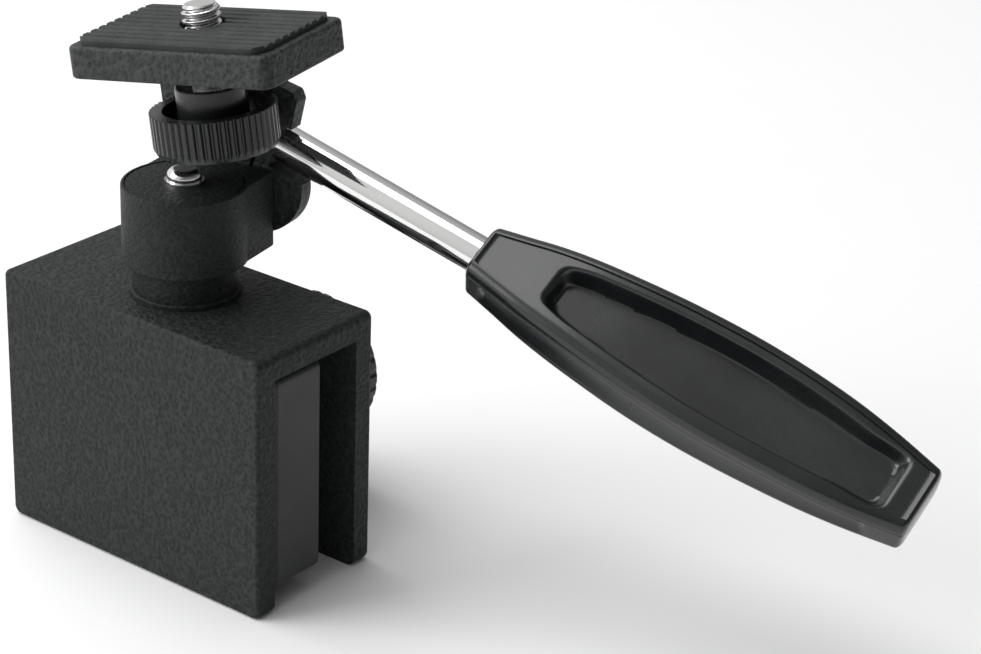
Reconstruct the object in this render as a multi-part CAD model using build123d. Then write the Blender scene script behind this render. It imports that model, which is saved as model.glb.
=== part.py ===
"""Car-window camera mount: a U-shaped window clamp that carries a small pan and tilt head.

Millimetres, +Z up. The origin is on the pan axis at the mouth of the window slot, where the clamp's
two legs end. +X runs along the clamp towards the handle and +Y towards the thumb knob. Everything
is built where it stands at rest: head turned by PAN_DEG, platform raised by TILT_DEG.
"""
from build123d import *
import math
import os

os.makedirs("parts", exist_ok=True)

# ---- window clamp
CLAMP_L, CLAMP_W, CLAMP_H = 57.4, 28.2, 46.5
WALL = 4.1                      # both legs and the roof
SLOT_HALF = CLAMP_W / 2 - WALL  # half width of the channel between the legs
CEILING = CLAMP_H - WALL
PLATE_L, PLATE_T, LINER_T = 56.4, 10.0, 1.2
PLATE_LOW, PLATE_TOP = 3.6, CEILING - 0.4
PLATE_BACK = 1.4                # Y of the plate's screw side when the jaw is shut
SCREW_Z, SCREW_R = 21.6, 4.0
KNOB_R, KNOB_FLUTES = 13.0, 30
KNOB_NEAR, KNOB_FAR = 22.0, 35.0

# ---- pan joint
PAN_DEG = 10.3
RING_R, NECK_R, SPINDLE_R = 9.3, 8.8, 5.5
COLLAR_LOW, COLLAR_TOP, COLLAR_R = 52.3, 65.7, 10.45
BLOCK_HALF, BLOCK_END = 9.8, 12.1
CAP_R, CAP_T = 9.75, 1.7
RUN = 0.05                      # radial running fit of pins and shafts

# ---- tilt joint, measured in the head's frame
TILT_DEG = 7.8
PIVOT_X, PIVOT_Z, AXLE_R = 5.0, 60.0, 3.0
ARM_NEAR, ARM_FAR, LUG_FAR = 12.4, 15.4, 19.0

# ---- platform, in the tilting frame: u along the platform, v square to it
PLAT_U = (-15.4, 22.3)
PLAT_Y = (-11.9, 12.4)
PLAT_V = (26.55, 31.9)
PAD_U, PAD_Y, PAD_T = (-13.9, 20.8), (-11.0, 11.1), 1.15
PAD_RIBS = 10
STUD_U, STUD_Y, STUD_R = 2.28, 1.5, 3.175
THREAD_PITCH, THREAD_LOW, THREAD_TURNS = 1.27, 32.7, 3
STUD_TOP = 36.2
WHEEL_R, WHEEL_LOW, WHEEL_TOP, WHEEL_TEETH = 10.4, 12.3, 19.2, 50
HUB_R, HUB_TOP = 5.8, 23.0

# ---- handle: a rod square to the tilt axis, ROD_OFFSET from it
ROD_DEG, ROD_OFFSET, ROD_Y, ROD_R = 25.93, 10.51, 15.5, 3.25
PINCH_R = 2.0                   # threaded nose of the rod
LUG_FACE, SLIT_RIGHT, SLIT_LEFT, LUG_BACK = 1.2, -1.4, -2.1, -7.5
LUG_TOP, LOBE_LOW = ROD_OFFSET + 3.7, ROD_OFFSET + 4.5
GRIP_ROLL = 32.0
# stations along the rod: distance, half width, height above and below the rod's axis
GRIP = [(40.4, 5.0, 3.7, 5.1), (46.5, 6.2, 4.4, 5.2), (52.0, 7.3, 5.0, 5.4), (58.0, 8.15, 5.5, 5.6),
        (65.5, 9.0, 5.7, 5.6), (73.5, 9.75, 5.75, 5.4), (81.0, 10.15, 5.8, 5.0), (88.5, 10.25, 5.85, 4.5),
        (97.0, 9.95, 5.8, 4.0), (105.4, 9.35, 5.4, 3.6), (113.2, 8.3, 4.9, 3.4), (122.2, 6.5, 4.5, 3.5)]
GRIP_EDGE, GRIP_HEEL = 0.9, 1.2  # corner sizes of the grip's top face and underside
GRIP_SPLIT = 1.0                # height of the parting line between the two grip mouldings
DISH, DISH_FLOOR = (55.6, 116.2), 2.0  # ends and floor of the finger dish in the top face
DISH_ENDS, DISH_LAND = (2.9, 3.7), 3.9 # its half widths at the ends, and the land left beside it

HEAD = Rot(0, 0, PAN_DEG)
TILT = HEAD * Pos(PIVOT_X, 0, PIVOT_Z) * Rot(0, -TILT_DEG, 0)
ROD = TILT * Rot(0, ROD_DEG, 0) * Pos(0, ROD_Y, ROD_OFFSET)
GRIP_FRAME = ROD * Rot(GRIP_ROLL, 0, 0)


def span(x, y, z):
    """Box from three (low, high) pairs."""
    size = [b - a for a, b in (x, y, z)]
    mid = [(a + b) / 2 for a, b in (x, y, z)]
    return Pos(*mid) * Box(*size)


def disc(r, low, high):
    """Cylinder about Z from low to high."""
    return Pos(0, 0, (low + high) / 2) * Cylinder(r, high - low)


def rod_x(r, low, high):
    return Rot(0, 90, 0) * disc(r, low, high)


def rod_y(r, low, high):
    return Rot(-90, 0, 0) * disc(r, low, high)


def thread(r, pitch, low, high, depth):
    """Screw thread about Z drawn as turned rings at the real pitch, with crests at radius r."""
    pts = [(0, low), (r - depth, low)]
    z = low
    while z + pitch <= high + 1e-6:
        pts += [(r, z + 0.30 * pitch), (r, z + 0.48 * pitch), (r - depth, z + 0.80 * pitch),
                (r - depth, z + pitch)]
        z += pitch
    if high - z > 1e-3:
        pts.append((r - depth, high))
    pts.append((0, high))
    return revolve(Plane.XZ * make_face(Polyline(*pts, close=True)), Axis.Z)


def edges_at(part, axis, value, tol=0.01):
    return part.edges().filter_by_position(axis, value - tol, value + tol)


def clamp_body():
    body = span((-CLAMP_L / 2, CLAMP_L / 2), (-CLAMP_W / 2, CLAMP_W / 2), (0, CLAMP_H))
    body -= span((-CLAMP_L, CLAMP_L), (-SLOT_HALF, SLOT_HALF), (-1, CEILING))
    corners = body.edges().filter_by(Axis.Y)
    body = fillet([e for e in corners if e.center().Z < 1], 1.6)
    corners = body.edges().filter_by(Axis.Y)
    body = fillet([e for e in corners if e.center().Z > CLAMP_H - 1], 1.3)
    rims = [e for e in body.edges() if abs(abs(e.center().Y) - CLAMP_W / 2) < 0.01]
    body = fillet(rims, 0.7)
    body -= Pos(0, 0, SCREW_Z) * rod_y(SCREW_R + RUN, SLOT_HALF - 1, CLAMP_W)
    body -= disc(2.6, CEILING - 1, CLAMP_H + 1)
    body -= Pos(0, 0, CEILING + 1.2) * Rot(180, 0, 0) * Cone(2.6, 5.0, 2.4)
    return body


def pressure_plate():
    plate = span((-PLATE_L / 2, PLATE_L / 2), (PLATE_BACK - PLATE_T, PLATE_BACK), (PLATE_LOW, PLATE_TOP))
    plate = fillet(plate.edges().filter_by(Axis.Y), 1.5)
    plate -= Pos(0, 0, SCREW_Z) * rod_y(SCREW_R - 1.0 + RUN, -4.4, PLATE_BACK + 1)
    plate -= Pos(0, 0, SCREW_Z) * rod_y(6.2, PLATE_BACK - PLATE_T - 1, -2.6)
    return plate


def plate_liner():
    face = PLATE_BACK - PLATE_T
    liner = span((-PLATE_L / 2, PLATE_L / 2), (face - LINER_T, face), (PLATE_LOW, PLATE_TOP))
    return fillet(liner.edges().filter_by(Axis.Y), 1.5)


def screw_clip():
    clip = rod_y(5.6, -3.9, -3.1) - rod_y(2.35, -5, 0)
    clip -= span((-1.6, 1.6), (-5, 0), (-7, 0))
    return Pos(0, 0, SCREW_Z) * clip


def clamp_screw():
    screw = Rot(-90, 0, 0) * thread(SCREW_R, 1.25, PLATE_BACK + 0.3, KNOB_NEAR - 4.45, 0.45)
    screw += rod_y(SCREW_R - 1.0, -2.9, PLATE_BACK + 0.4)
    screw += rod_y(2.3, -3.95, -2.9) + rod_y(SCREW_R - 1.0, -4.3, -3.9)
    screw += rod_y(SCREW_R - 0.5, KNOB_NEAR - 4.5, KNOB_FAR - 3.0)
    return Pos(0, 0, SCREW_Z) * screw


def thumb_knob():
    body = disc(KNOB_R, KNOB_NEAR, KNOB_FAR)
    body = fillet(edges_at(body, Axis.Z, KNOB_FAR), 0.6)
    body = fillet(edges_at(body, Axis.Z, KNOB_NEAR), 0.6)
    for k in range(KNOB_FLUTES):
        flute = Pos(KNOB_R + 0.55, 0, (KNOB_NEAR + KNOB_FAR) / 2) * Cylinder(0.95, 20)
        body -= Rot(0, 0, (k + 0.5) * 360 / KNOB_FLUTES) * flute
    body += disc(6.2, KNOB_NEAR - 4.4, KNOB_NEAR + 0.1)
    body -= disc(8.2, KNOB_FAR - 1.0, KNOB_FAR + 1)
    body -= disc(SCREW_R - 0.5, KNOB_NEAR - 6, KNOB_FAR - 3.0)
    return Pos(0, 0, SCREW_Z) * Rot(-90, 0, 0) * body


def pan_post():
    ring = disc(RING_R, CLAMP_H, CLAMP_H + 1.0)
    ring = fillet(edges_at(ring, Axis.Z, CLAMP_H + 1.0), 0.4)
    post = ring + disc(NECK_R, CLAMP_H + 0.9, COLLAR_LOW - 0.4)
    post += disc(SPINDLE_R, COLLAR_LOW - 0.5, COLLAR_TOP - CAP_T)
    post -= disc(2.5, CLAMP_H - 1, CLAMP_H + 9.5)
    post -= disc(2.0, COLLAR_TOP - 9.5, COLLAR_TOP)
    return post


def post_bolt():
    head = Pos(0, 0, CEILING + 1.2) * Rot(180, 0, 0) * Cone(2.4, 4.8, 2.4)
    head -= span((-5, 5), (-0.5, 0.5), (CEILING - 1, CEILING + 1.0))
    return head + disc(2.4, CEILING + 2.3, CLAMP_H + 0.2) + disc(2.5, CLAMP_H + 0.1, CLAMP_H + 9.0)


def pan_washer():
    return disc(NECK_R - 0.5, COLLAR_LOW - 0.4, COLLAR_LOW) - disc(SPINDLE_R + RUN, 0, 99)


def pan_collar():
    plan = Circle(COLLAR_R) + Pos(0, BLOCK_END / 2) * Rectangle(2 * BLOCK_HALF, BLOCK_END)
    body = extrude(plan, COLLAR_TOP - COLLAR_LOW).moved(Pos(0, 0, COLLAR_LOW))
    upright = [e for e in body.edges().filter_by(Axis.Z) if e.center().Y > BLOCK_END - 0.1]
    body = fillet(upright, 0.6)
    body = fillet(edges_at(body, Axis.Z, COLLAR_TOP), 0.35)
    body = fillet(edges_at(body, Axis.Z, COLLAR_LOW), 0.35)
    body -= disc(SPINDLE_R + RUN, COLLAR_LOW - 1, COLLAR_TOP)
    body -= disc(CAP_R + 0.15, COLLAR_TOP - CAP_T - 0.1, COLLAR_TOP + 1)
    body -= Pos(PIVOT_X, 0, PIVOT_Z) * rod_y(AXLE_R, 6.6, BLOCK_END + 1)
    return HEAD * body


def pan_cap():
    cap = disc(CAP_R, COLLAR_TOP - CAP_T, COLLAR_TOP - 0.05)
    cap = fillet(edges_at(cap, Axis.Z, COLLAR_TOP - 0.05), 0.25)
    return cap - disc(2.1, 0, 99)


def cap_washer():
    return disc(3.3, COLLAR_TOP - 0.05, COLLAR_TOP + 0.55) - disc(2.1, 0, 99)


def cap_screw():
    top = COLLAR_TOP + 0.55
    head = disc(2.9, top, top + 1.8)
    head = fillet(edges_at(head, Axis.Z, top + 1.8), 1.2)
    return head + disc(2.0, COLLAR_TOP - 9.0, top + 0.1)


def tilt_axle():
    axle = rod_y(AXLE_R, 6.8, LUG_FAR + 0.1) - rod_y(1.5, LUG_FAR - 6.5, LUG_FAR + 1)
    return HEAD * Pos(PIVOT_X, 0, PIVOT_Z) * axle


def tilt_washer():
    ring = rod_y(5.2, BLOCK_END, ARM_NEAR - 0.02) - rod_y(AXLE_R, 0, 40)
    return HEAD * Pos(PIVOT_X, 0, PIVOT_Z) * ring


def axle_washer():
    ring = rod_y(5.4, LUG_FAR + 0.1, LUG_FAR + 0.8) - rod_y(1.6, 0, 40)
    return HEAD * Pos(PIVOT_X, 0, PIVOT_Z) * ring


def axle_screw():
    low = LUG_FAR + 0.8
    head = disc(2.8, low, low + 1.9)
    head = fillet(edges_at(head, Axis.Z, low + 1.9), 0.7)
    head -= span((-0.35, 0.35), (-1.9, 1.9), (low + 1.0, low + 3))
    head -= span((-1.9, 1.9), (-0.35, 0.35), (low + 1.0, low + 3))
    screw = head + disc(1.5, LUG_FAR - 6.0, low + 0.1)
    return HEAD * Pos(PIVOT_X, 0, PIVOT_Z) * Rot(-90, 0, 0) * screw


def rod_sheet(s, h):
    """Point on the arm given along the rod (s) and square to it (h), as (u, v)."""
    c, n = math.cos(math.radians(ROD_DEG)), math.sin(math.radians(ROD_DEG))
    return (s * c + h * n, -s * n + h * c)


def plate_xz(face, low, high):
    """Extrude a face drawn in (u, v) along Y from low to high."""
    solid = extrude(Plane.XZ * face, -(high - low))
    return Pos(0, low, 0) * solid


def arm_outline():
    """Side arm: round lower end, waist cut for the rod, ear above it and a wide top under the platform."""
    low_c, low_r = (1.3, 2.75), 8.9
    shape = Pos(*low_c) * Circle(low_r)
    waist = [rod_sheet(3.2, LOBE_LOW), rod_sheet(SLIT_LEFT, LOBE_LOW), rod_sheet(SLIT_LEFT, 3.0)]
    upper = [(PLAT_U[0], 30.4), (PLAT_U[0], 13.0), (-7.3, 0.6), (1.3, 2.75)] + waist[::-1]
    upper += [(11.2, 16.9), (10.8, 18.5), (8.2, 19.5), (6.4, 21.4), (5.8, 24.0), (5.8, 30.4)]
    shape += make_face(Polyline(*upper, close=True))
    ear = [v for v in shape.vertices() if v.X > 8 and v.Y > 16.5]
    return fillet(ear, 0.9)


def local_box(s, h, y):
    """Box in the rod's frame (s along it, h square to it), given back in the tilting frame."""
    return Rot(0, ROD_DEG, 0) * span(s, y, h)


def tilt_bracket():
    arm = plate_xz(arm_outline(), ARM_NEAR, ARM_FAR)
    arm += rod_y(6.4, ARM_FAR - 0.5, LUG_FAR)
    arm += local_box((LUG_BACK, LUG_FACE), (0, LUG_TOP), (ARM_FAR - 0.5, LUG_FAR))
    arm += local_box((SLIT_LEFT, LUG_FACE), (0, LUG_TOP), (ARM_NEAR, ARM_FAR))
    arm -= local_box((LUG_FACE, 30), (ROD_OFFSET - 3.75, LOBE_LOW), (0, 40))
    arm -= local_box((SLIT_LEFT, SLIT_RIGHT), (0, LUG_TOP + 0.01), (0, 40))
    arm -= local_box((SLIT_LEFT, 30), (LUG_TOP, LOBE_LOW), (0, 40))
    arm -= rod_y(AXLE_R + RUN, 0, 40)
    screw_line = Rot(0, ROD_DEG, 0) * Pos(0, ROD_Y, ROD_OFFSET)
    arm -= screw_line * rod_x(PINCH_R + 0.3, SLIT_LEFT, LUG_FACE + 1)
    arm -= screw_line * rod_x(PINCH_R + RUN, LUG_BACK + 0.6, SLIT_LEFT + 0.1)
    top = span(PLAT_U, PLAT_Y, PLAT_V)
    free = [e for e in top.edges().filter_by(Axis.Z) if e.center().Y < 0 or e.center().X > 0]
    top = fillet(free, 2.0)
    top = fillet(edges_at(top, Axis.Z, PLAT_V[1]), 0.7)
    top = fillet(edges_at(top, Axis.Z, PLAT_V[0]), 0.5)
    web = make_face(Polyline((9.2, PLAT_V[0] + 0.3), (ARM_NEAR + 0.1, PLAT_V[0] + 0.3),
                             (ARM_NEAR + 0.1, PLAT_V[0] - 3.4), close=True))
    web = Pos(PLAT_U[0] + 0.6, 0, 0) * extrude(Plane.YZ * web, 5.4 - PLAT_U[0])
    whole = arm + top + web
    whole -= Pos(STUD_U, STUD_Y, 0) * disc(STUD_R + 0.3, 0, 60)
    return TILT * whole


def platform_pad():
    base = PLAT_V[1]
    pad = span(PAD_U, PAD_Y, (base, base + 0.8))
    pitch = (PAD_Y[1] - PAD_Y[0]) / PAD_RIBS
    for k in range(PAD_RIBS):
        y = PAD_Y[0] + k * pitch
        rib = make_face(Polyline((y, base + 0.6), (y + 0.15 * pitch, base + PAD_T), (y + 0.7 * pitch, base + PAD_T),
                                 (y + 0.85 * pitch, base + 0.6), close=True))
        pad += Pos(PAD_U[0], 0, 0) * extrude(Plane.YZ * rib, PAD_U[1] - PAD_U[0])
    outline = span(PAD_U, PAD_Y, (base, base + PAD_T))
    pad &= fillet(outline.edges().filter_by(Axis.Z), 2.5)
    pad -= Pos(STUD_U, STUD_Y, 0) * disc(STUD_R + 0.6, 0, 60)
    return TILT * pad


def camera_screw():
    screw = thread(STUD_R, THREAD_PITCH, THREAD_LOW, THREAD_LOW + THREAD_TURNS * THREAD_PITCH, 0.62)
    screw -= disc(STUD_R + 1, STUD_TOP, STUD_TOP + 2)
    screw += disc(STUD_R - 0.3, HUB_TOP + 2.0, THREAD_LOW + 0.1)
    screw += disc(2.3, HUB_TOP + 1.0, HUB_TOP + 2.1)
    screw += disc(STUD_R - 0.3, WHEEL_LOW + 1.2, HUB_TOP + 1.1)
    return TILT * Pos(STUD_U, STUD_Y, 0) * screw


def stud_clip():
    clip = disc(4.6, HUB_TOP + 1.2, HUB_TOP + 1.9) - disc(2.35, 0, 60)
    clip -= span((-1.5, 1.5), (0, 7), (0, 60))
    return TILT * Pos(STUD_U, STUD_Y, 0) * clip


def thumbwheel():
    pts = []
    for k in range(WHEEL_TEETH):
        for frac, r in ((0.0, WHEEL_R), (0.35, WHEEL_R), (0.60, WHEEL_R - 0.42), (0.78, WHEEL_R - 0.42)):
            a = 2 * math.pi * (k + frac) / WHEEL_TEETH
            pts.append((r * math.cos(a), r * math.sin(a)))
    rim = extrude(make_face(Polyline(*pts, close=True)), WHEEL_TOP - WHEEL_LOW).moved(Pos(0, 0, WHEEL_LOW))
    bevel = disc(WHEEL_R - 1.0, WHEEL_LOW, WHEEL_TOP)
    high = WHEEL_TOP - WHEEL_LOW
    cone = Pos(0, 0, WHEEL_LOW + 2.2) * Cone(WHEEL_R - 0.55, WHEEL_R + 1.65, 4.4)
    cone += disc(WHEEL_R + 1, WHEEL_LOW + 4.3, WHEEL_TOP)
    rim = bevel + (rim & cone)
    rim -= disc(WHEEL_R - 2.1, WHEEL_LOW + 0.6 * high, WHEEL_TOP + 1)
    rim += disc(HUB_R, WHEEL_LOW + 1, HUB_TOP)
    rim = fillet(edges_at(rim, Axis.Z, HUB_TOP), 0.4)
    rim -= disc(STUD_R - 0.3, WHEEL_LOW + 1.2, HUB_TOP + 1)
    return TILT * Pos(STUD_U, STUD_Y, 0) * rim


def handle_rod():
    body = rod_x(ROD_R, LUG_FACE + 0.5, 44.3)
    body += rod_x(2.4, 44.2, 51.5)
    body += rod_x(PINCH_R, LUG_BACK + 1.0, LUG_FACE + 0.6)
    return ROD * body


def rod_washer():
    return ROD * (rod_x(3.2, LUG_FACE + 0.02, LUG_FACE + 0.5) - rod_x(PINCH_R, -20, 20))


def grip_insert():
    return ROD * (rod_x(3.5, 44.4, 52.0) - rod_x(2.4, 40, 51.5))


def grip_section(s, half, up, down):
    """One cross-section of the grip: a flat top and underside joined by straight sides."""
    e, k = GRIP_EDGE, GRIP_HEEL
    pts = [(-half + e, up), (half - e, up), (half, up - e), (half, k - down), (half - k, -down),
           (k - half, -down), (-half, k - down), (-half, up - e)]
    return Plane.YZ.offset(s) * make_face(Polyline(*pts, close=True))


def dish_outline():
    """Outline of the finger dish's floor in plan."""
    side = [(s, half - DISH_LAND) for s, half, up, down in GRIP if DISH[0] + 2 < s < DISH[1] - 2]
    side = [(DISH[0], DISH_ENDS[0])] + side + [(DISH[1], DISH_ENDS[1])]
    return make_face(Polyline(*(side + [(s, -y) for s, y in reversed(side)]), close=True))


def grip_blank():
    blank = loft([grip_section(*row) for row in GRIP])
    blank -= extrude(Plane.XY.offset(DISH_FLOOR) * dish_outline(), 6, taper=-30)
    return blank - rod_x(ROD_R, 39, 44.4) - rod_x(3.5, 44.3, 52.0)


def grip_halves():
    """The two mouldings, parted along a flat plane that runs through the rod's socket."""
    blank = grip_blank()
    upper = blank & span((30, 130), (-20, 20), (GRIP_SPLIT, 20))
    lower = blank & span((30, 130), (-20, 20), (-20, GRIP_SPLIT - 0.02))
    return GRIP_FRAME * upper, GRIP_FRAME * lower


def save(name, solid):
    export_step(solid, f"parts/{name}.step")


grip_upper, grip_lower = grip_halves()
save("grip_upper", grip_upper)
save("grip_lower", grip_lower)
for make in (clamp_body, pressure_plate, plate_liner, screw_clip, clamp_screw, thumb_knob, pan_post,
             post_bolt, pan_washer, pan_collar, pan_cap, cap_washer, cap_screw, tilt_axle, tilt_washer,
             axle_washer, axle_screw, tilt_bracket, platform_pad, camera_screw, stud_clip, thumbwheel,
             handle_rod, rod_washer, grip_insert):
    save(make.__name__, make())
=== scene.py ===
import math

import bpy
from mathutils import Matrix, Vector

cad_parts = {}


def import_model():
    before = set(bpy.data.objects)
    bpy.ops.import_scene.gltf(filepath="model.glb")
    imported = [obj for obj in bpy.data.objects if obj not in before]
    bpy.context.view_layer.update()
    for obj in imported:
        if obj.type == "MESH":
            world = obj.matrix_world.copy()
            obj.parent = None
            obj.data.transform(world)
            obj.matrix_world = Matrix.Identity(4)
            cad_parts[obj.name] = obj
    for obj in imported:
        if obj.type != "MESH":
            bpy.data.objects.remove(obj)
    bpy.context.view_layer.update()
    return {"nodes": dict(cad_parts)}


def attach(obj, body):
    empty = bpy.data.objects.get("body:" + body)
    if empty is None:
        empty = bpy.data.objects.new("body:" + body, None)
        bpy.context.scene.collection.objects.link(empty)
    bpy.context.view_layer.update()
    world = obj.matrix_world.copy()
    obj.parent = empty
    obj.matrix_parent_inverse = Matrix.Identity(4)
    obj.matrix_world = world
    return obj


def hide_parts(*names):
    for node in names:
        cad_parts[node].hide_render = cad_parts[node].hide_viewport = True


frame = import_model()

NODES = frame["nodes"]
MM = 0.001

# ---------------------------------------------------------------- frames, as the part has them
PAN, TILT, ROD_DROP, GRIP_ROLL = (math.radians(a) for a in (10.3, 7.8, 25.93, 32.0))
TILT_PIVOT = (5.0, 0, 60.0)             # in the head
ROD_START = (0, 15.5, 10.51)            # in the tilted platform, turned along the rod
STUD_AXIS = (2.28, 1.5, 0)              # in the tilted platform
CLAMP_SCREW_HEIGHT = 21.6


def shift(x, y, z):
    return Matrix.Translation(Vector((x, y, z)) * MM)


HEAD = Matrix.Rotation(PAN, 4, "Z")
TILTED = HEAD @ shift(*TILT_PIVOT) @ Matrix.Rotation(-TILT, 4, "Y")
ROD = TILTED @ Matrix.Rotation(ROD_DROP, 4, "Y") @ shift(*ROD_START)
GRIP = ROD @ Matrix.Rotation(GRIP_ROLL, 4, "X")
STUD = TILTED @ shift(*STUD_AXIS)
CLAMP_SCREW = shift(0, 0, CLAMP_SCREW_HEIGHT) @ Matrix.Rotation(math.radians(-90), 4, "X")


# ---------------------------------------------------------------- node helpers
DUST_COLOUR = (0.30, 0.31, 0.31)
DUST_CUTOFF = 0.72                      # cells whose random value is higher get a speck


class Nodes:
    """Short way to build a material: nodes are added by type, and inputs take values or other outputs."""

    def __init__(self, name):
        self.mat = bpy.data.materials.new(name)
        self.mat.use_nodes = True
        self.tree = self.mat.node_tree
        self.shader = self.tree.nodes["Principled BSDF"]
        self.coords = self.add("ShaderNodeTexCoord").outputs["Object"]

    def add(self, kind, settings=None, **inputs):
        node = self.tree.nodes.new(kind)
        for key, value in (settings or {}).items():
            setattr(node, key, value)
        for key, value in inputs.items():
            self.put(node, key.replace("_", " "), value)
        return node

    def put(self, node, key, value):
        socket = node.inputs[int(key)] if key.isdigit() else node.inputs[key]
        if isinstance(value, bpy.types.NodeSocket):
            self.tree.links.new(value, socket)
        else:
            socket.default_value = value

    def noise(self, scale, detail=3.0, rough=0.55, where=None):
        node = self.add("ShaderNodeTexNoise", Vector=where or self.coords, Scale=scale, Detail=detail,
                        Roughness=rough)
        return node.outputs["Fac"]

    def cells(self, scale, feature="SMOOTH_F1"):
        return self.add("ShaderNodeTexVoronoi", {"feature": feature}, Vector=self.coords, Scale=scale)

    def stretched(self, x, y, z, turn=(0, 0, 0)):
        node = self.add("ShaderNodeMapping", Vector=self.coords, Rotation=turn, Scale=(x, y, z))
        return node.outputs["Vector"]

    def remap(self, value, low, high, to_low, to_high):
        node = self.add("ShaderNodeMapRange", {"interpolation_type": "SMOOTHSTEP"}, Value=value)
        for key, v in (("From Min", low), ("From Max", high), ("To Min", to_low), ("To Max", to_high)):
            node.inputs[key].default_value = v
        return node.outputs["Result"]

    def maths(self, operation, a, b):
        node = self.add("ShaderNodeMath", {"operation": operation})
        self.put(node, "0", a)
        self.put(node, "1", b)
        return node.outputs["Value"]

    def mix_colour(self, factor, a, b):
        node = self.add("ShaderNodeMix", {"data_type": "RGBA"})
        self.put(node, "0", factor)
        for key, value in (("6", a), ("7", b)):
            self.put(node, key, value if isinstance(value, bpy.types.NodeSocket) else (*value, 1))
        return node.outputs[2]

    def bump(self, height, strength, distance_mm, under=None):
        node = self.add("ShaderNodeBump", Height=height, Strength=strength, Distance=distance_mm * MM)
        if under is not None:
            self.put(node, "Normal", under)
        return node.outputs["Normal"]

    def specks(self, colour, spacing, size):
        """A little pale dust: small dots in some cells. Spacing and size are in millimetres."""
        cells = self.cells(1000 / spacing, "F1")
        near = self.maths("LESS_THAN", cells.outputs["Distance"], size / spacing)
        random = self.add("ShaderNodeSeparateColor", Color=cells.outputs["Color"]).outputs[0]
        some = self.maths("GREATER_THAN", random, DUST_CUTOFF)
        return self.mix_colour(self.maths("MULTIPLY", near, some), colour, DUST_COLOUR)

    def finish(self, colour=None, rough=None, normal=None, **fixed):
        for key, value in (("Base Color", colour), ("Roughness", rough), ("Normal", normal)):
            if value is not None:
                if key == "Base Color" and not isinstance(value, bpy.types.NodeSocket):
                    value = (*value, 1)
                self.put(self.shader, key, value)
        for key, value in fixed.items():
            self.put(self.shader, key.replace("_", " "), value)
        return self.mat


# ---------------------------------------------------------------- materials
def powder_coat(name, dark, light, grain_mm, strength, spec=0.18):
    """Black powder coat with a pebbled skin: rounded grains over a slower unevenness."""
    n = Nodes(name)
    grains = n.cells(1000 / grain_mm).outputs["Distance"]
    fine = n.noise(1000 / (0.55 * grain_mm), 4, 0.6)
    slow = n.noise(150, 3, 0.5)
    height = n.maths("ADD", n.maths("MULTIPLY", grains, 0.75), n.maths("MULTIPLY", fine, 0.55))
    normal = n.bump(slow, 0.25, 0.5)
    normal = n.bump(height, strength, 0.5 * grain_mm, normal)
    tone = n.mix_colour(n.remap(n.maths("ADD", fine, grains), 0.5, 1.3, 0, 1), dark, light)
    rough = n.remap(fine, 0.3, 0.7, 0.44, 0.64)
    n.put(n.shader, "Specular IOR Level", spec)
    return n.finish(n.specks(tone, 9.0, 0.10), rough, normal)


def satin_metal(name, dark, light, spec):
    """Smooth dark anodised aluminium with faint rolling lines along X."""
    n = Nodes(name)
    lines = n.noise(1.0, 3, 0.5, n.stretched(60, 2600, 2600))
    cloud = n.noise(90, 2, 0.5)
    normal = n.bump(lines, 0.10, 0.05)
    n.put(n.shader, "Specular IOR Level", spec)
    tone = n.mix_colour(n.remap(cloud, 0.3, 0.7, 0, 1), dark, light)
    return n.finish(tone, n.remap(lines, 0.3, 0.7, 0.34, 0.46), normal)


def moulded_plastic(name, dark, light, rough_low, rough_high, coat=0.0, dust=None):
    """Injection-moulded plastic: slight orange peel, uneven gloss and fine handling marks."""
    n = Nodes(name)
    peel = n.noise(420, 3, 0.5)
    cloud = n.noise(55, 4, 0.55)
    marks = n.noise(1.0, 2, 0.5, n.stretched(900, 5200, 5200, (0.3, 0.5, 0.2)))
    normal = n.bump(marks, 0.05, 0.05, n.bump(peel, 0.07, 0.12))
    tone = n.mix_colour(n.remap(cloud, 0.3, 0.7, 0, 1), dark, light)
    if dust:
        tone = n.specks(tone, *dust)
    blend = n.maths("ADD", n.maths("MULTIPLY", cloud, 0.7), n.maths("MULTIPLY", marks, 0.3))
    rough = n.remap(blend, 0.35, 0.65, rough_low, rough_high)
    n.put(n.shader, "Specular IOR Level", 0.5)
    n.put(n.shader, "Coat Weight", coat)
    n.put(n.shader, "Coat Roughness", 0.12)
    return n.finish(tone, rough, normal)


def rubber(name, dark, light):
    """Matt rubber with a fine grain and slow patches of tone."""
    n = Nodes(name)
    grain = n.noise(2600, 4, 0.65)
    patches = n.noise(180, 3, 0.5)
    tone = n.mix_colour(n.remap(patches, 0.3, 0.7, 0, 1), dark, light)
    n.put(n.shader, "Specular IOR Level", 0.4)
    return n.finish(tone, n.remap(grain, 0.3, 0.7, 0.55, 0.75), n.bump(grain, 0.35, 0.10))


def chrome(name, tint, rough_low, rough_high, along=(300, 7000, 7000), turn=(0, 0, 0)):
    """Bright plating with polishing lines and a little haze."""
    n = Nodes(name)
    lines = n.noise(1.0, 2, 0.5, n.stretched(*along, turn))
    haze = n.noise(120, 3, 0.5)
    blend = n.maths("ADD", n.maths("MULTIPLY", lines, 0.4), n.maths("MULTIPLY", haze, 0.6))
    rough = n.remap(blend, 0.35, 0.65, rough_low, rough_high)
    tone = n.mix_colour(haze, tuple(0.93 * c for c in tint), tint)
    return n.finish(tone, rough, n.bump(lines, 0.04, 0.02), Metallic=1.0)


def nylon(name):
    n = Nodes(name)
    cloud = n.noise(300, 3, 0.5)
    tone = n.mix_colour(cloud, (0.016, 0.016, 0.016), (0.028, 0.028, 0.028))
    return n.finish(tone, n.remap(cloud, 0.3, 0.7, 0.4, 0.55), n.bump(cloud, 0.1, 0.05))


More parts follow.
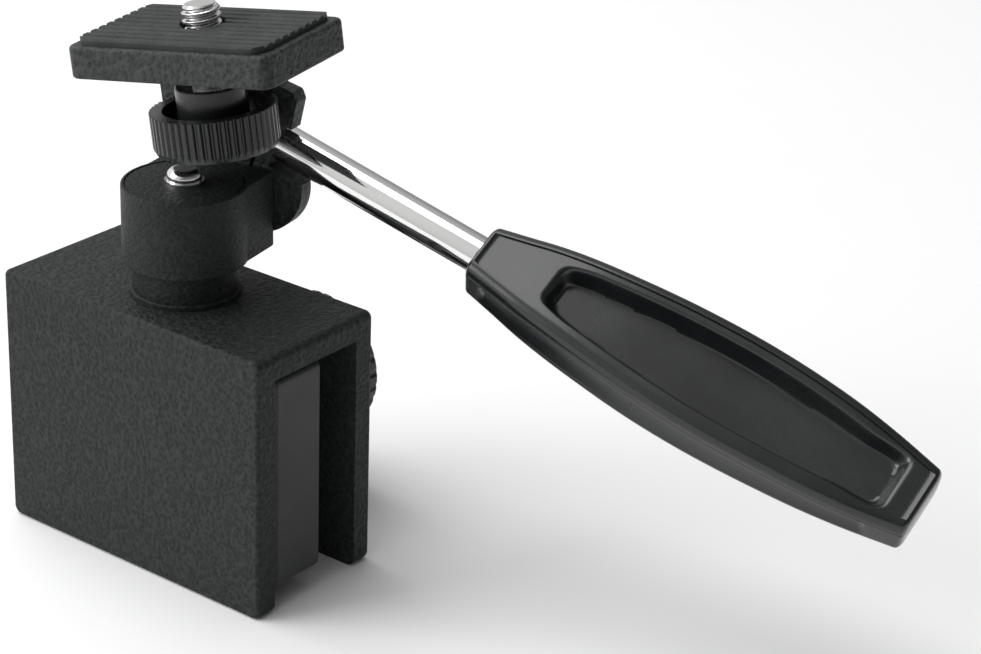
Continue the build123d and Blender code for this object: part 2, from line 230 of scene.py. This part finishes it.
def brass(name):
    n = Nodes(name)
    turned = n.noise(1.0, 2, 0.5, n.stretched(9000, 500, 500))
    tone = n.mix_colour(turned, (0.62, 0.45, 0.20), (0.76, 0.58, 0.30))
    return n.finish(tone, n.remap(turned, 0.3, 0.7, 0.2, 0.34), n.bump(turned, 0.1, 0.03), Metallic=1.0)


def oxide_steel(name):
    n = Nodes(name)
    cloud = n.noise(500, 4, 0.6)
    tone = n.mix_colour(cloud, (0.035, 0.036, 0.038), (0.09, 0.09, 0.095))
    return n.finish(tone, n.remap(cloud, 0.3, 0.7, 0.3, 0.5), n.bump(cloud, 0.12, 0.06), Metallic=0.85)


MATERIALS = {
    "clamp_coat": powder_coat("clamp_coat", (0.010, 0.012, 0.012), (0.030, 0.034, 0.033), 0.75, 0.85),
    "head_coat": powder_coat("head_coat", (0.009, 0.011, 0.0105), (0.024, 0.027, 0.026), 0.62, 0.75),
    "plate_coat": powder_coat("plate_coat", (0.010, 0.012, 0.012), (0.040, 0.044, 0.043), 0.80, 1.0, 0.34),
    "plate_metal": satin_metal("plate_metal", (0.013, 0.014, 0.0145), (0.020, 0.021, 0.022), 0.4),
    "liner_rubber": rubber("liner_rubber", (0.010, 0.010, 0.010), (0.018, 0.018, 0.018)),
    "pad_rubber": rubber("pad_rubber", (0.016, 0.018, 0.018), (0.028, 0.031, 0.030)),
    "bright_steel": chrome("bright_steel", (0.80, 0.80, 0.79), 0.10, 0.22, (3000, 3000, 3000)),
    "rod_chrome": chrome("rod_chrome", (0.84, 0.84, 0.83), 0.05, 0.11, turn=(0, math.radians(-18), -PAN)),
    "black_screw": oxide_steel("black_screw"),
    "knob_plastic": moulded_plastic("knob_plastic", (0.012, 0.012, 0.013), (0.020, 0.020, 0.021), 0.38, 0.5),
    "wheel_plastic": moulded_plastic("wheel_plastic", (0.011, 0.012, 0.012), (0.020, 0.022, 0.022),
                                     0.20, 0.34),
    "grip_plastic": moulded_plastic("grip_plastic", (0.006, 0.007, 0.0075), (0.011, 0.0125, 0.013),
                                    0.20, 0.30, coat=0.25, dust=(6.0, 0.06)),
    "nylon": nylon("nylon"),
    "insert_brass": brass("insert_brass"),
}
FINISH = {
    "clamp_body": "clamp_coat", "pressure_plate": "plate_metal", "plate_liner": "liner_rubber",
    "screw_clip": "bright_steel", "clamp_screw": "black_screw", "thumb_knob": "knob_plastic",
    "pan_post": "head_coat", "post_bolt": "black_screw", "pan_washer": "nylon", "pan_collar": "head_coat",
    "pan_cap": "head_coat", "cap_washer": "bright_steel", "cap_screw": "bright_steel",
    "tilt_axle": "bright_steel", "tilt_washer": "nylon", "axle_washer": "bright_steel",
    "axle_screw": "bright_steel", "tilt_bracket": "plate_coat", "platform_pad": "pad_rubber",
    "camera_screw": "bright_steel", "stud_clip": "bright_steel", "thumbwheel": "wheel_plastic",
    "handle_rod": "rod_chrome", "rod_washer": "bright_steel", "grip_insert": "insert_brass",
    "grip_upper": "grip_plastic", "grip_lower": "grip_plastic",
}
for node, finish in FINISH.items():
    NODES[node].data.materials.clear()
    NODES[node].data.materials.append(MATERIALS[finish])


# ---------------------------------------------------------------- mesh helpers
SHARP_ANGLE = math.radians(38)


def piece(name, points, faces, place, material, body, replaced):
    """A smooth-shaded mesh given in millimetres in its own frame, put where the CAD node stands."""
    mesh = bpy.data.meshes.new(name)
    mesh.from_pydata([place @ (Vector(p) * MM) for p in points], [], faces)
    mesh.validate()
    mesh.shade_smooth()
    mesh.set_sharp_from_angle(angle=SHARP_ANGLE)
    mesh.materials.append(MATERIALS[material])
    obj = bpy.data.objects.new(name, mesh)
    bpy.context.scene.collection.objects.link(obj)
    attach(obj, body)
    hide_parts(*replaced)


def skin(rings):
    """Points and faces of a closed skin over rings of equal length, capped at both ends."""
    count = len(rings[0])
    points = [p for ring in rings for p in ring]
    faces = []
    for i in range(len(rings) - 1):
        for j in range(count):
            k = (j + 1) % count
            faces.append((i * count + j, i * count + k, (i + 1) * count + k, (i + 1) * count + j))
    faces.append(tuple(reversed(range(count))))
    faces.append(tuple(range((len(rings) - 1) * count, len(rings) * count)))
    return points, faces


def smooth(t):
    """Eased step from 0 to 1 as t goes from 0 to 1."""
    t = min(1.0, max(0.0, t))
    return t * t * (3 - 2 * t)


# ---------------------------------------------------------------- true helical threads
THREAD_START = 32.05                    # height at which a root faces +X
PAIR_GAP = 0.004                        # half the distance between the close pair of rings at a step
STUD_FOOT, STUD_TOP, STUD_TAPER = 13.5, 36.2, 0.75
STUD_CORE, STUD_CREST, STUD_PITCH, STUD_DEPTH = 2.875, 3.175, 1.27, 0.62
STUD_NECK, STUD_NECK_LOW, STUD_NECK_HIGH = 2.3, 24.0, 25.1
STUD_THREAD_FADE = 31.9
SPINDLE_CORE, SPINDLE_CREST, SPINDLE_PITCH, SPINDLE_DEPTH = 3.5, 4.0, 1.25, 0.55
SPINDLE_NOSE, SPINDLE_NECK = 3.0, 2.3
SPINDLE_START, SPINDLE_NECK_LOW, SPINDLE_NECK_HIGH, SPINDLE_END = -4.3, -3.95, -2.9, 32.0
SPINDLE_THREAD_LOW, SPINDLE_THREAD_HIGH, SPINDLE_THREAD_FADE = 1.7, 17.5, 0.9


def thread_radius(z, turn, pitch, crest, depth):
    """Radius of a right-hand thread at height z and angle turn, with flat roots and rounded crests."""
    phase = ((z - THREAD_START) / pitch - turn / (2 * math.pi)) % 1.0
    return crest - depth * (1 - smooth((0.40 - abs(phase - 0.5)) / 0.29))


def screw(radius_at, heights, segments):
    """Skin of a turned body whose radius depends on height and angle."""
    rings = []
    for z in heights:
        ring = []
        for j in range(segments):
            turn = 2 * math.pi * j / segments
            r = radius_at(z, turn)
            ring.append((r * math.cos(turn), r * math.sin(turn), z))
        rings.append(ring)
    return skin(rings)


def steps(*runs):
    """Heights from runs of (low, high, count), with a close pair wherever two runs meet."""
    out = []
    for low, high, count in runs:
        out += [low + PAIR_GAP + (high - low - 2 * PAIR_GAP) * i / count for i in range(count + 1)]
    return out


def stud_radius(z, turn):
    if z < STUD_NECK_LOW:
        return STUD_CORE
    if z < STUD_NECK_HIGH:
        return STUD_NECK
    cut = thread_radius(z, turn, STUD_PITCH, STUD_CREST, STUD_DEPTH)
    r = STUD_CORE + (cut - STUD_CORE) * smooth((z - STUD_THREAD_FADE) / 0.8)
    return min(r, 2.5 + STUD_TAPER * (STUD_TOP - z))


def spindle_radius(z, turn):
    if z < SPINDLE_NECK_LOW:
        return SPINDLE_NOSE
    if z < SPINDLE_NECK_HIGH:
        return SPINDLE_NECK
    if z > SPINDLE_THREAD_HIGH:
        return SPINDLE_CORE
    if z < SPINDLE_THREAD_LOW:
        return SPINDLE_NOSE
    cut = thread_radius(z, turn, SPINDLE_PITCH, SPINDLE_CREST, SPINDLE_DEPTH)
    fade = min(smooth((z - SPINDLE_THREAD_LOW) / SPINDLE_THREAD_FADE),
               smooth((SPINDLE_THREAD_HIGH - z) / SPINDLE_THREAD_FADE))
    return SPINDLE_CORE + (cut - SPINDLE_CORE) * fade


stud_heights = steps((STUD_FOOT, STUD_NECK_LOW, 4), (STUD_NECK_LOW, STUD_NECK_HIGH, 2),
                     (STUD_NECK_HIGH, 31.8, 3), (31.8, STUD_TOP, 90))
points, faces = screw(stud_radius, stud_heights, 72)
piece("camera_stud", points, faces, STUD, "bright_steel", "stud", ["camera_screw"])

spindle_heights = steps((SPINDLE_START, SPINDLE_NECK_LOW, 1), (SPINDLE_NECK_LOW, SPINDLE_NECK_HIGH, 2),
                        (SPINDLE_NECK_HIGH, SPINDLE_THREAD_LOW, 3),
                        (SPINDLE_THREAD_LOW, SPINDLE_THREAD_HIGH, 205), (SPINDLE_THREAD_HIGH, SPINDLE_END, 4))
points, faces = screw(spindle_radius, spindle_heights, 56)
piece("clamp_spindle", points, faces, CLAMP_SCREW, "black_screw", "spindle", ["clamp_screw"])

# ---------------------------------------------------------------- handle grip
# stations along the rod: distance, half width, height above and below the rod's axis
STATIONS = [(40.4, 5.0, 3.7, 5.1), (46.5, 6.2, 4.4, 5.2), (52.0, 7.3, 5.0, 5.4), (58.0, 8.15, 5.5, 5.6),
            (65.5, 9.0, 5.7, 5.6), (73.5, 9.75, 5.75, 5.4), (81.0, 10.15, 5.8, 5.0), (88.5, 10.25, 5.85, 4.5),
            (97.0, 9.95, 5.8, 4.0), (105.4, 9.35, 5.4, 3.6), (113.2, 8.3, 4.9, 3.4), (122.2, 6.5, 4.5, 3.5)]
GRIP_START, GRIP_END = STATIONS[0][0], STATIONS[-1][0]
DISH_START, DISH_END, DISH_FLOOR = 54.0, 117.6, 1.75
DISH_WALL, DISH_CORNER, RIM_WIDTH = 2.0, 1.6, 2.9
LAND_DROP = 0.34                        # how far the land lies below the rim
GRIP_INSET = 0.10                       # keeps the smooth form within the CAD's faceted one
END_ROUND = 0.9
TOP_ROUND, HEEL_ROUND, ROUND_STEPS, HEEL_STEPS = 1.9, 1.5, 8, 7
SEAM = 0.02                             # half the gap between the two mouldings
PANEL_DEPTH = 0.28                      # side panel pressed into the lower moulding


def station(s):
    """Half width, top and bottom at distance s, on a smooth curve through the stations."""
    i = max(0, min(len(STATIONS) - 2, next((k for k, row in enumerate(STATIONS[1:]) if s <= row[0]), 99)))
    a, b = STATIONS[i], STATIONS[i + 1]
    before, after = STATIONS[max(0, i - 1)], STATIONS[min(len(STATIONS) - 1, i + 2)]
    h = b[0] - a[0]
    t = (s - a[0]) / h
    out = []
    for c in (1, 2, 3):
        m0 = (b[c] - before[c]) / (b[0] - before[0]) * h
        m1 = (after[c] - a[c]) / (after[0] - a[0]) * h
        out.append((2 * t**3 - 3 * t**2 + 1) * a[c] + (t**3 - 2 * t**2 + t) * m0
                   + (3 * t**2 - 2 * t**3) * b[c] + (t**3 - t**2) * m1 - GRIP_INSET)
    return out


def soft_min(a, b, r):
    """Smaller of a and b, rounded off where they are within r of each other."""
    h = max(r - abs(a - b), 0.0) / r
    return min(a, b) - h * h * r / 4


def end_inset(s, r):
    """How far the outline draws in near either end, so that the end edges are round."""
    d = min(s - GRIP_START, GRIP_END - s, r)
    return r - math.sqrt(max(r * r - (r - d) ** 2, 0.0))


def top_height(s, y, half, up):
    """The grip's top: round edge, raised rim, land a little lower, and the finger dish."""
    edge = soft_min(half - abs(y), min(s - GRIP_START, GRIP_END - s) + 0.35, 1.2)
    z = up - LAND_DROP * smooth((edge - 0.95) / 0.9)
    wide = half - RIM_WIDTH - 0.8 * smooth((60 - s) / 8) + 0.8 * smooth((s - 108) / 8)
    inside = soft_min(soft_min(wide - abs(y), s - DISH_START, DISH_CORNER), DISH_END - s, DISH_CORNER)
    z -= (z - DISH_FLOOR) * smooth(inside / DISH_WALL)
    return z + 0.30 * smooth((inside - DISH_WALL) / 3) * (abs(y) / 8) ** 2


def spread(low, high, ends, fine, coarse):
    """Values from low to high, fine near both ends and coarse in the middle."""
    out, x = [low], low
    while x < high - 1e-6:
        step = fine if min(x - low, high - x) < ends else coarse
        x = min(high, x + step)
        out.append(x)
    return out


S_VALUES = spread(GRIP_START, GRIP_END, 1.3, 0.12, 0.42)
ACROSS = [math.sin(math.pi / 2 * (i / 34 - 1)) for i in range(69)]


def parting(s, up):
    """Height of the parting line on the sides, and of the tongue by which the lid sits in the base."""
    line = min(3.0, up - 2.3)
    tongue = (line - 0.9) * smooth(s - GRIP_START - 1.5) * smooth(GRIP_END - 1.5 - s)
    return line, line - tongue


def upper_ring(s):
    """Section of the upper moulding: tongue, parting edge, side, round and top, then the other side."""
    half, up, _ = station(s)
    line, tongue = parting(s, up)
    cut = end_inset(s, END_ROUND)
    half, up = half - cut, up - cut
    side = [(s, -half + 1.22, tongue + SEAM), (s, -half + 1.2, line + SEAM), (s, -half + 0.10, line + SEAM),
            (s, -half, line + 0.14), (s, -half, (line + up - TOP_ROUND) / 2)]
    for i in range(ROUND_STEPS + 1):
        a = math.pi / 2 * i / ROUND_STEPS
        side.append((s, -half + TOP_ROUND * (1 - math.cos(a)), up - TOP_ROUND * (1 - math.sin(a))))
    flat = half - TOP_ROUND
    top = [(s, x * flat, top_height(s, x * flat, half, up) if cut < 0.5 else up) for x in ACROSS[1:-1]]
    return side + top + [(s, -y, z) for _, y, z in reversed(side)]


def lower_ring(s):
    """Section of the lower moulding: groove, parting edge, side panel and heel, then the other side."""
    half, up, down = station(s)
    line, tongue = parting(s, up)
    cut = end_inset(s, END_ROUND)
    half, down = half - cut, down - cut
    panel = PANEL_DEPTH * smooth((s - 43.5) / 1.2) * smooth((116.2 - s) / 0.7)
    low = HEEL_ROUND - down
    side = [(-half + 1.20, tongue - SEAM), (-half + 1.18, line - SEAM), (-half + 0.10, line - SEAM),
            (-half, line - 0.14), (-half, line - 0.75),
            (-half + panel, line - 1.05), (-half + panel, low + 0.6), (-half + 0.4 * panel, low + 0.3)]
    for i in range(HEEL_STEPS + 1):
        a = math.pi / 2 * i / HEEL_STEPS
        side.append((-half + HEEL_ROUND * (1 - math.cos(a)), low - HEEL_ROUND * math.sin(a)))
    return [(s, y, z) for y, z in side] + [(s, -y, z) for y, z in reversed(side)]


points, faces = skin([upper_ring(s) for s in S_VALUES])
piece("grip_top", points, faces, GRIP, "grip_plastic", "handle", ["grip_upper"])
points, faces = skin([list(reversed(lower_ring(s))) for s in S_VALUES])
piece("grip_base", points, faces, GRIP, "grip_plastic", "handle", ["grip_lower"])


# ---------------------------------------------------------------- floor, light and camera
FLOOR_REACH, FLOOR_DROP = 5, 0.00005    # metres; the drop keeps the floor off the plane of the feet
ROOM_BRIGHT_SIDE = (-0.80, -0.35, 0.48)
ROOM_DIM, ROOM_BRIGHT = (0.16, 0.16, 0.165, 1), (0.95, 0.95, 0.95, 1)
CAMERA_TURN, CAMERA_RISE, CAMERA_ROLL = (math.radians(a) for a in (36.72, 24.56, 2.15))
CAMERA_RIGHT, CAMERA_UP, CAMERA_BACK = 0.05218, 0.03598, 0.46794       # metres from the origin
LENS, SENSOR = 99.08, 36


def floor():
    n = Nodes("floor_paper")
    grain = n.noise(14, 3, 0.5)
    n.put(n.shader, "Specular IOR Level", 0.1)
    material = n.finish(n.mix_colour(grain, (0.90, 0.90, 0.90), (0.92, 0.92, 0.92)), 0.9)
    mesh = bpy.data.meshes.new("floor")
    signs = ((-1, -1), (1, -1), (1, 1), (-1, 1))
    corners = [(FLOOR_REACH * x, FLOOR_REACH * y, -FLOOR_DROP) for x, y in signs]
    mesh.from_pydata(corners, [], [(0, 1, 2, 3)])
    mesh.materials.append(material)
    obj = bpy.data.objects.new("floor", mesh)
    bpy.context.scene.collection.objects.link(obj)


def world():
    """Pale room: bright at the front left and overhead, dim on the right."""
    made = bpy.data.worlds.new("studio")
    made.use_nodes = True
    tree = made.node_tree
    coords = tree.nodes.new("ShaderNodeTexCoord")
    side = tree.nodes.new("ShaderNodeVectorMath")
    side.operation = "DOT_PRODUCT"
    side.inputs[1].default_value = ROOM_BRIGHT_SIDE
    ramp = tree.nodes.new("ShaderNodeValToRGB")
    tree.links.new(coords.outputs["Generated"], side.inputs[0])
    tree.links.new(side.outputs["Value"], ramp.inputs[0])
    ramp.color_ramp.elements[0].position, ramp.color_ramp.elements[1].position = 0.0, 0.75
    ramp.color_ramp.elements[0].color = ROOM_DIM
    ramp.color_ramp.elements[1].color = ROOM_BRIGHT
    background = tree.nodes["Background"]
    tree.links.new(ramp.outputs["Color"], background.inputs["Color"])
    background.inputs["Strength"].default_value = 1.0
    bpy.context.scene.world = made


def softbox(name, place, aim, size, power):
    """Rectangular light, size in metres and power in watts, facing its aim."""
    light = bpy.data.lights.new(name, "AREA")
    light.shape, light.size, light.size_y, light.energy = "RECTANGLE", size[0], size[1], power
    obj = bpy.data.objects.new(name, light)
    obj.location = place
    obj.rotation_mode = "QUATERNION"
    obj.rotation_quaternion = (Vector(aim) - Vector(place)).to_track_quat("-Z", "Y")
    bpy.context.scene.collection.objects.link(obj)


def camera():
    """Camera from its angles round the object, with the object's origin off the lens axis."""
    level = math.cos(CAMERA_RISE)
    back = Vector((math.sin(CAMERA_TURN) * level, -math.cos(CAMERA_TURN) * level, math.sin(CAMERA_RISE)))
    right = Vector((math.cos(CAMERA_TURN), math.sin(CAMERA_TURN), 0))
    up = back.cross(right)
    c, s = math.cos(CAMERA_ROLL), math.sin(CAMERA_ROLL)
    right, up = c * right + s * up, c * up - s * right
    data = bpy.data.cameras.new("camera")
    data.sensor_width, data.lens = SENSOR, LENS
    data.clip_start, data.clip_end = 0.02, 20
    obj = bpy.data.objects.new("camera", data)
    place = right * CAMERA_RIGHT + up * CAMERA_UP + back * CAMERA_BACK
    basis = Matrix((right, up, back)).transposed().to_4x4()
    obj.matrix_world = Matrix.Translation(place) @ basis
    bpy.context.scene.collection.objects.link(obj)
    bpy.context.scene.camera = obj


floor()
world()
softbox("overhead", (-0.42, -0.05, 1.1), (-0.10, 0, 0), (0.8, 1.1), 7.6)
softbox("front_left", (-0.70, -0.80, 0.60), (0.02, 0, 0.05), (0.7, 0.7), 7)
camera()
bpy.context.scene.view_settings.view_transform = "Standard"
